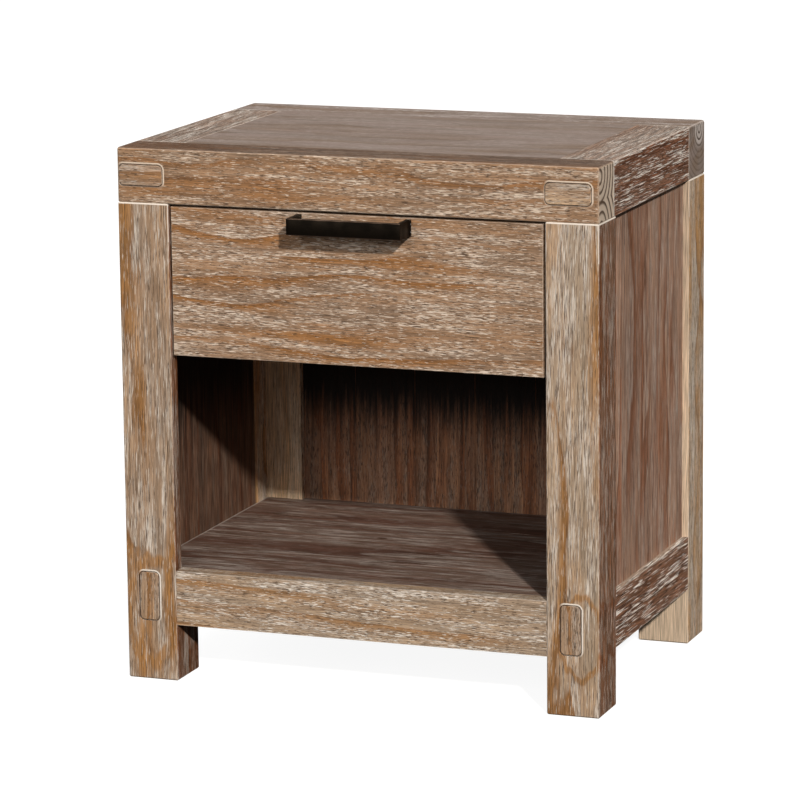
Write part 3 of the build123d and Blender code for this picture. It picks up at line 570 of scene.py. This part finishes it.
# Bare planed pine inside, never stained: pale yellow wood with fine orange rings and hardly any lime.
barePine = {"early": "#d3b48a", "grey": "#c9ab84", "late": "#bd8d56", "line": "#a67442", "pore": "#8d6a44",
            "film": 0.0, "streaks": 0.0, "pores": 0.3, "edge": 0.0, "ring": 9, "contrast": 0.1,
            "stripes": 0.06, "lime": "#e0cba6", "rough": 0.55}
limedWood("barePineBoxFront", "drawer_box_front", grain="x", pith=(0, -90), seed=31, **barePine)
limedWood("barePineBoxBack", "drawer_box_back", grain="x", pith=(20, -90), seed=32, **barePine)
limedWood("barePineDrawerBottom", "drawer_bottom", grain="x", pith=(0, -300), seed=33,
          **{**barePine, "ring": 22})
limedWood("birchDowelsFrame", "frame_dowels", grain="y", seed=34, **barePine)
limedWood("birchDowelsLeg", "leg_dowels", grain="z", seed=35, **barePine)
for side, n in (("left", 0), ("right", 1)):
    limedWood("barePineBoxSide_" + side, "drawer_side_" + side, grain="y", pith=(0, -80), seed=36 + n,
              **barePine)
    limedWood("barePineRunner_" + side, "slide_runner_" + side, grain="y", pith=(9, -60), seed=38 + n,
              **barePine)
    limedWood("barePineCleat_" + side, "shelf_cleat_" + side, grain="y", pith=(9, -60), seed=40 + n,
              **barePine)
print("wood is on")


# Zinc-plated steel, rolled or cold-headed: cool grey, half dull, faintly cloudy and finely scratched.
zincSteel = {"light": "#b9bcc0", "dark": "#8f9398", "cloud": 14, "scratch": (30, 0.35), "rough": (0.28, 0.46)}
polishedSteel = {**zincSteel, "rough": (0.12, 0.25)}
# Steel with a rubbed bronze finish: nearly black brown, worn to a dull bronze along the edges.
rubbedBronze = {"light": "#2d261f", "dark": "#1a1612", "worn": "#8a7262", "wear": 0.85, "cloud": 22,
                "scratch": (12, 0.5), "rough": (0.38, 0.55)}
# how the two noises of a metal add up, from where to where it turns dark and loses its finish, and its bump
metalShape = {"scratch": 0.35, "dark": {"From Min": 0.5, "From Max": 0.85}, "fray": 1.2,
              "worn": {"From Min": 0.7, "From Max": 1.7}, "bump": {"Strength": 0.25, "Distance": 0.0001}}


def plainMetal(name, finish, box, grain="y"):
    low, high = box
    centre = (low + high) / 2
    half = (high - low) / 2 / mm
    material, add = newMaterial(name)
    place = add("TexCoord")
    flat = add("Mapping", {"vector_type": "TEXTURE", "Location": centre, "Scale": (mm, mm, mm)},
               {0: place.outputs["Object"]})
    length, thin = finish["scratch"]
    fine = [1 / thin] * 3
    fine["xyz".index(grain)] = 1 / length
    cloud = add("TexNoise", {"Scale": 1 / finish["cloud"], "Detail": 3.0}, {0: flat})
    scratch = add("Mapping", {"Scale": fine}, {0: flat})
    scratch = add("TexNoise", {"Scale": 1.0, "Detail": 2.0}, {0: scratch})
    mottle = add("Math", {"operation": "MULTIPLY_ADD", 1: metalShape["scratch"]}, {0: scratch, 2: cloud})
    mottle = add("MapRange", {**smooth, **metalShape["dark"]}, {"Value": mottle})
    colour = add("Mix", {**rgba, 6: finish["light"], 7: finish["dark"]}, {0: mottle})
    if "worn" in finish:
        # the finish is rubbed thin within half a millimetre of the edges of the box
        inward = add("VectorMath", {"operation": "ABSOLUTE"}, {0: flat})
        inward = add("VectorMath", {"operation": "SUBTRACT", 0: half}, {1: inward})
        gaps = add("SeparateXYZ", links={0: inward}).outputs
        least = add("Math", {"operation": "MINIMUM"}, {0: gaps[0], 1: gaps[1]})
        most = add("Math", {"operation": "MAXIMUM"}, {0: gaps[0], 1: gaps[1]})
        most = add("Math", {"operation": "MINIMUM"}, {0: most, 1: gaps[2]})
        toEdge = add("Math", {"operation": "MAXIMUM"}, {0: least, 1: most})
        ragged = add("Math", {"operation": "MULTIPLY_ADD", 1: metalShape["fray"]}, {0: cloud, 2: toEdge})
        worn = add("MapRange", {**smooth, **metalShape["worn"], "To Min": finish["wear"], "To Max": 0.0},
                   {"Value": ragged})
        colour = add("Mix", {**rgba, 7: finish["worn"]}, {0: worn, 6: colour})
    rough = add("MapRange", {"To Min": finish["rough"][0], "To Max": finish["rough"][1]}, {"Value": mottle})
    bump = add("Bump", metalShape["bump"], {"Height": scratch})
    shader = add("BsdfPrincipled", {"Metallic": 1.0},
                 {"Base Color": colour, "Roughness": rough, "Normal": bump})
    add("OutputMaterial", links={0: shader})
    return material


def startPiece():
    # everything out of edit mode and deselected, so that an operator acts on the new piece alone
    if bpy.context.object and bpy.context.object.mode != "OBJECT":
        bpy.ops.object.mode_set(mode="OBJECT")
    bpy.ops.object.select_all(action="DESELECT")


def addBlock(low, high):
    # a cube from one corner to the other, with its place in its mesh
    startPiece()
    low, high = Vector(low), Vector(high)
    bpy.ops.mesh.primitive_cube_add(size=1, location=(low + high) / 2, scale=high - low)
    bpy.ops.object.transform_apply(location=True, rotation=True, scale=True)
    return bpy.context.object


def pickFaces(item, wanted):
    # into edit mode with the faces selected that pass a test of their middle and normal
    bpy.ops.object.mode_set(mode="EDIT")
    bpy.ops.mesh.select_mode(type="FACE")
    bpy.ops.mesh.select_all(action="DESELECT")
    bpy.ops.object.mode_set(mode="OBJECT")
    for face in item.data.polygons:
        face.select = bool(wanted(face.center, face.normal))
    bpy.ops.object.mode_set(mode="EDIT")


def cutAcross(point, normal):
    # a bisecting cut through the whole piece, in edit mode
    bpy.ops.mesh.select_all(action="SELECT")
    bpy.ops.mesh.bisect(plane_co=point, plane_no=normal)


def bevelEdges(item, width, segments, angle=40):
    modifier = item.modifiers.new("bevel", "BEVEL")
    modifier.width, modifier.segments = width, segments
    modifier.limit_method, modifier.angle_limit = "ANGLE", math.radians(angle)
    bpy.context.view_layer.objects.active = item
    bpy.ops.object.modifier_apply(modifier="bevel")


def joinPieces(items):
    startPiece()
    for item in items:
        item.select_set(True)
    bpy.context.view_layer.objects.active = items[0]
    if len(items) > 1:
        bpy.ops.object.join()
    return items[0]


def finishPiece(item, name, body, material, replaced=()):
    startPiece()
    item.select_set(True)
    bpy.context.view_layer.objects.active = item
    bpy.ops.object.transform_apply(location=True, rotation=True, scale=True)
    bpy.ops.object.shade_smooth_by_angle(angle=math.radians(35))
    item.name = name
    item.data.name = name
    useMaterial(item, material)
    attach(item, body)
    if replaced:
        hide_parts(*replaced)


# Flat bar bent into a U, its ends spread into small feet with two rivets in each; sizes in mm.
pullShape = {"bar": 5, "footLength": 5, "footProud": 1, "edge": 0.42, "rivetRadius": 1.15,
             "rivetHeight": 0.55, "rivetSpread": 9}


def makePull():
    low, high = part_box("pull")
    shape = {key: value * mm for key, value in pullShape.items()}
    left, right = low.x + shape["footProud"], high.x - shape["footProud"]
    barBack = low.y + shape["bar"]
    pull = addBlock((left, low.y, low.z), (right, barBack, high.z))
    bpy.ops.object.mode_set(mode="EDIT")
    cutAcross((left + shape["bar"], 0, 0), (1, 0, 0))
    cutAcross((right - shape["bar"], 0, 0), (1, 0, 0))
    reach = (right - left) / 2 - shape["bar"]
    middle = (left + right) / 2
    pickFaces(pull, lambda c, n: n.y > 0.9 and abs(c.x - middle) > reach)
    footFrom = high.y - shape["footLength"]
    for back in (footFrom - barBack, shape["footLength"]):
        bpy.ops.mesh.extrude_region_move(TRANSFORM_OT_translate={"value": (0, back, 0)})
    pickFaces(pull, lambda c, n: abs(n.x) > 0.9 and c.y > footFrom)
    bpy.ops.mesh.extrude_region_shrink_fatten(TRANSFORM_OT_shrink_fatten={"value": shape["footProud"]})
    bpy.ops.object.mode_set(mode="OBJECT")
    bevelEdges(pull, shape["edge"], 3)
    rivets = []
    for outer in (low.x, high.x):
        for up in (-1, 1):
            startPiece()
            spot = (outer, high.y - shape["footLength"] / 2,
                    (low.z + high.z) / 2 + up * shape["rivetSpread"] / 2)
            bpy.ops.mesh.primitive_cylinder_add(
                vertices=20, radius=shape["rivetRadius"], depth=2 * shape["rivetHeight"], location=spot,
                rotation=(0, math.pi / 2, 0))
            rivets.append(bpy.context.object)
            bevelEdges(rivets[-1], shape["rivetHeight"] * 0.6, 3)
    finishPiece(pull, "bentBarPull", "drawer",
                plainMetal("rubbedBronzePull", rubbedBronze, (low, high), "x"), ("pull",))
    finishPiece(joinPieces(rivets), "pullRivets", "drawer",
                plainMetal("rivetSteel", zincSteel, (low, high)))
    print("pull is made")


def looseBoxes(name):
    # the box of each separate solid in a node that groups several
    startPiece()
    item = nodes[name].copy()
    item.data = nodes[name].data.copy()
    item.parent = None
    bpy.context.scene.collection.objects.link(item)
    item.select_set(True)
    bpy.context.view_layer.objects.active = item
    bpy.ops.object.mode_set(mode="EDIT")
    bpy.ops.mesh.select_all(action="SELECT")
    bpy.ops.mesh.remove_doubles(threshold=0.00001)
    bpy.ops.mesh.separate(type="LOOSE")
    bpy.ops.object.mode_set(mode="OBJECT")
    boxes = []
    for part in list(bpy.context.selected_objects):
        corners = [vertex.co for vertex in part.data.vertices]
        boxes.append((Vector([min(c[i] for c in corners) for i in range(3)]),
                      Vector([max(c[i] for c in corners) for i in range(3)])))
        bpy.data.objects.remove(part, do_unlink=True)
    return boxes


# parts of the head's width and height, of the shank's length and radius, and the pitch of the thread in mm
screwShape = {"slotLength": 0.62, "slotWidth": 0.2, "slotDepth": 0.7, "crown": 0.35, "pitch": 1.6,
              "shank": 0.85, "valley": 0.8, "tip": 0.18, "tipMiddle": 0.91, "point": 0.3, "tipTop": 0.92}


def makeScrew(headRadius, headHeight, shankRadius, shankLength):
    # points down -z with the top of its head at the origin: a crowned head with a cross recess, ridged shank
    startPiece()
    bpy.ops.mesh.primitive_cylinder_add(vertices=28, radius=headRadius, depth=headHeight,
                                        location=(0, 0, -headHeight / 2))
    head = bpy.context.object
    bevelEdges(head, headHeight * screwShape["crown"], 3)
    for turn in (0, math.pi / 2):
        startPiece()
        bpy.ops.mesh.primitive_cube_add(size=1, rotation=(0, 0, turn), scale=(
            2 * headRadius * screwShape["slotLength"], 2 * headRadius * screwShape["slotWidth"],
            2 * headHeight * screwShape["slotDepth"]))
        cutter = bpy.context.object
        modifier = head.modifiers.new("recess", "BOOLEAN")
        modifier.operation, modifier.object = "DIFFERENCE", cutter
        bpy.context.view_layer.objects.active = head
        bpy.ops.object.modifier_apply(modifier="recess")
        bpy.data.objects.remove(cutter, do_unlink=True)
    startPiece()
    bpy.ops.mesh.primitive_cone_add(
        vertices=14, radius1=shankRadius * screwShape["point"], radius2=shankRadius * screwShape["tipTop"],
        depth=shankLength * screwShape["tip"],
        location=(0, 0, -headHeight - shankLength * screwShape["tipMiddle"]))
    tip = bpy.context.object
    startPiece()
    threaded = shankLength * screwShape["shank"]
    bpy.ops.mesh.primitive_cylinder_add(vertices=14, radius=shankRadius, depth=threaded,
                                        location=(0, 0, -headHeight - threaded / 2))
    shank = bpy.context.object
    bpy.ops.object.mode_set(mode="EDIT")
    turns = max(3, round(shankLength / mm / screwShape["pitch"]))
    for step in range(1, 2 * turns):
        cutAcross((0, 0, -headHeight - threaded * step / (2 * turns)), (0, 0, 1))
    bpy.ops.object.mode_set(mode="OBJECT")
    for vertex in shank.data.vertices:
        # every other ring of the shank is drawn in
        step = round(2 * turns * (-vertex.co.z - headHeight) / threaded)
        vertex.select = step % 2 == 0
    for face in shank.data.polygons:
        face.select = False
    for edge in shank.data.edges:
        edge.select = False
    bpy.ops.object.mode_set(mode="EDIT")
    bpy.ops.mesh.select_mode(type="VERT")
    bpy.ops.transform.resize(value=(screwShape["valley"], screwShape["valley"], 1), center_override=(0, 0, 0))
    bpy.ops.object.mode_set(mode="OBJECT")
    return joinPieces([head, shank, tip])


# which way the heads of each group of screws look
screwGroups = {"back_screws": (0, 1, 0), "shelf_screws": (0, 0, -1), "runner_screws": "inward",
               "slide_outer_screws": "inward", "slide_inner_screws": "inward",
               "drawer_front_screws": (0, 1, 0), "pull_screws": (0, 1, 0)}
screwBodies = {"slide_inner_screws": "drawer", "drawer_front_screws": "drawer", "pull_screws": "drawer"}
# height of the head and radius of the shank, mm
screwSizes = {"back_screws": (1, 1), "pull_screws": (1.5, 1.5), "others": (1.5, 2)}


def makeScrews():
    for group, looks in screwGroups.items():
        boxes = looseBoxes(group)
        headRadius = max(min(high - low) for low, high in boxes) / 2
        headHeight, shankRadius = (v * mm for v in screwSizes.get(group, screwSizes["others"]))
        template = None
        copies = []
        for low, high in boxes:
            middle = (low + high) / 2
            aim = Vector((-1 if middle.x > 0 else 1, 0, 0)) if looks == "inward" else Vector(looks)
            axis = max(range(3), key=lambda i: abs(aim[i]))
            size = high - low
            if template is None:
                template = makeScrew(headRadius, headHeight, shankRadius, size[axis] - headHeight)
            top = middle.copy()
            top[axis] = high[axis] if aim[axis] > 0 else low[axis]
            copy = template.copy()
            copy.data = template.data.copy()
            bpy.context.scene.collection.objects.link(copy)
            turn = Vector((0, 0, 1)).rotation_difference(aim).to_matrix().to_4x4()
            copy.data.transform(Matrix.Translation(top) @ turn)
            copies.append(copy)
        bpy.data.objects.remove(template, do_unlink=True)
        screws = joinPieces(copies)
        finishPiece(screws, "crossScrews_" + group, screwBodies.get(group, "case"),
                    plainMetal("zincPlated_" + group, zincSteel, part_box(group)), (group,))
    print("screws are in")


# Balls in a pressed strip between the members of each slide. They ride on the middle member.
# Sizes in mm; stripWidth is a part of the ball's width.
cageShape = {"balls": 6, "pitch": 9, "strip": 0.8, "stripWidth": 0.8, "overhang": 4, "outerBall": 2.0,
             "innerBall": 3.6, "fromFront": 22, "fromRear": 82, "outerIn": 7.2, "innerIn": 8.7, "wall": 1.2}


def makeBallCage(side):
    middleLow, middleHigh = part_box("slide_middle_" + side)
    outerLow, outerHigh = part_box("slide_outer_" + side)
    innerLow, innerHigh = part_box("slide_inner_" + side)
    wall = cageShape["wall"] * mm
    sign = -1 if side == "left" else 1
    legFace = outerLow.x if side == "left" else outerHigh.x
    parts = []
    # the outer row sits towards the rear, the inner row towards the front, so each stays inside both members
    for inset, ball, up, down, front in (
            (cageShape["outerIn"], cageShape["outerBall"], (outerHigh.z - wall + middleHigh.z) / 2,
             (outerLow.z + wall + middleLow.z) / 2, middleHigh.y / mm - cageShape["fromRear"]),
            (cageShape["innerIn"], cageShape["innerBall"], (middleHigh.z - wall + innerHigh.z) / 2,
             (middleLow.z + wall + innerLow.z) / 2, middleLow.y / mm + cageShape["fromFront"])):
        x = legFace - sign * inset * mm
        radius = ball * mm / 2
        startPiece()
        bpy.ops.mesh.primitive_uv_sphere_add(segments=14, ring_count=8, radius=radius)
        template = bpy.context.object
        for z in (up, down):
            start = (front - cageShape["overhang"]) * mm
            end = (front + cageShape["pitch"] * (cageShape["balls"] - 1) + cageShape["overhang"]) * mm
            thick = cageShape["strip"] * mm / 2
            wide = radius * cageShape["stripWidth"]
            strip = addBlock((x - wide, start, z - thick), (x + wide, end, z + thick))
            bevelEdges(strip, thick * 0.7, 2)
            parts.append(strip)
            for number in range(cageShape["balls"]):
                ballCopy = template.copy()
                ballCopy.data = template.data.copy()
                bpy.context.scene.collection.objects.link(ballCopy)
                spot = (x, (front + cageShape["pitch"] * number) * mm, z)
                ballCopy.data.transform(Matrix.Translation(spot))
                parts.append(ballCopy)
        bpy.data.objects.remove(template, do_unlink=True)
    cage = joinPieces(parts)
    finishPiece(cage, "ballCage_" + side, "slide_middle_" + side,
                plainMetal("polishedBalls_" + side, polishedSteel, (middleLow, middleHigh)))


makePull()
makeScrews()
for side in ("left", "right"):
    makeBallCage(side)
for side in ("left", "right"):
    for member in ("outer", "middle", "inner"):
        slide = "slide_" + member + "_" + side
        useMaterial(nodes[slide], plainMetal("zincPlated_" + slide, zincSteel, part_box(slide)))
print("metal is on")
